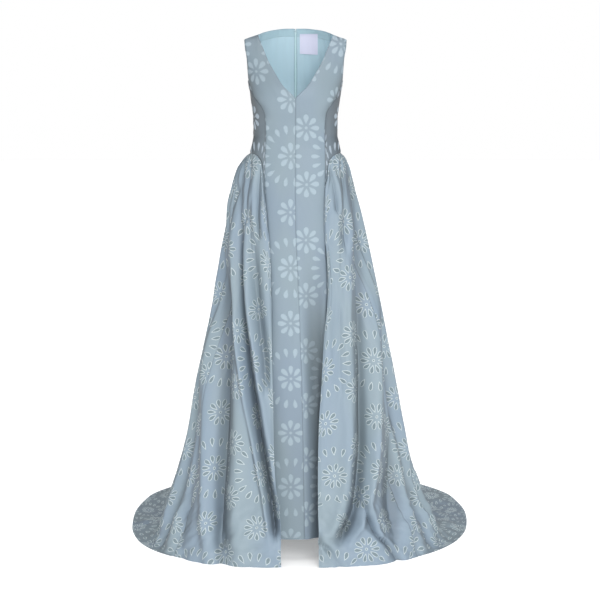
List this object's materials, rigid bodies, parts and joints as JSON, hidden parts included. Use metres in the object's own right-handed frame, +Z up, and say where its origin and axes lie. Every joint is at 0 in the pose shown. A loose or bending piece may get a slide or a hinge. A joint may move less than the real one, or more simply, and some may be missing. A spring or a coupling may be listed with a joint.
{
  "type": "sleeveless v-neck gown with an open pleated overskirt and train",
  "caption": "Floor-length sleeveless V-neck gown, hollow as worn: slim column front under a pleated overskirt open at the front, with a rounded train and a back zip.",
  "frame": {"origin": "midway between the shoulders at the height of the inner ends of the shoulder seams, where the wearer's shoulders carry the gown", "axes": "+Z up, +Y to the gown's back, +X to the wearer's left, which is the right of a front view"},
  "size_m": [1.1757, 1.34, 1.672],
  "materials": {
    "gown_cloth": "blue-grey satin-faced organza with woven petals",
    "lining_cloth": "smooth pale aqua lining",
    "label_cloth": "plain pale lilac satin ribbon",
    "zip_tape": "woven tape dyed to the lining",
    "zip_metal": "enamelled to the cloth"
  },
  "bodies": {
    "gown": {"front_centre_l": "gown_cloth", "front_centre_r": "gown_cloth", "side_front_l": "gown_cloth", "side_front_r": "gown_cloth", "side_back_l": "gown_cloth", "side_back_r": "gown_cloth", "back_l": "gown_cloth", "back_r": "gown_cloth", "column_side_front_l": "gown_cloth", "column_side_l": "gown_cloth", "column_side_rear_l": "gown_cloth", "column_side_front_r": "gown_cloth", "column_side_r": "gown_cloth", "column_side_rear_r": "gown_cloth", "column_back_l": "gown_cloth", "column_back_r": "gown_cloth", "overskirt_front_l": "gown_cloth", "overskirt_front_r": "gown_cloth", "overskirt_side_l": "gown_cloth", "overskirt_side_r": "gown_cloth", "overskirt_back_l": "gown_cloth", "overskirt_back_r": "gown_cloth", "neck_facing_l": "gown_cloth", "neck_facing_r": "gown_cloth", "back_lining_l": "lining_cloth", "back_lining_r": "lining_cloth", "label": "label_cloth", "zip_tape_l": "zip_tape", "zip_tape_r": "zip_tape", "zip_slider": "zip_metal", "neck_hook": "zip_metal", "neck_eye": "zip_metal"},
    "pull_tab": {"zip_pull": "zip_metal"}
  },
  "joints": [
    {"name": "pull_swing", "type": "hinge", "parent": "gown", "child": "pull_tab", "pos_m": [0, 0.06574, 0.01632], "axis": [1, 0, 0], "range_deg": [0, 150]}
  ]
}
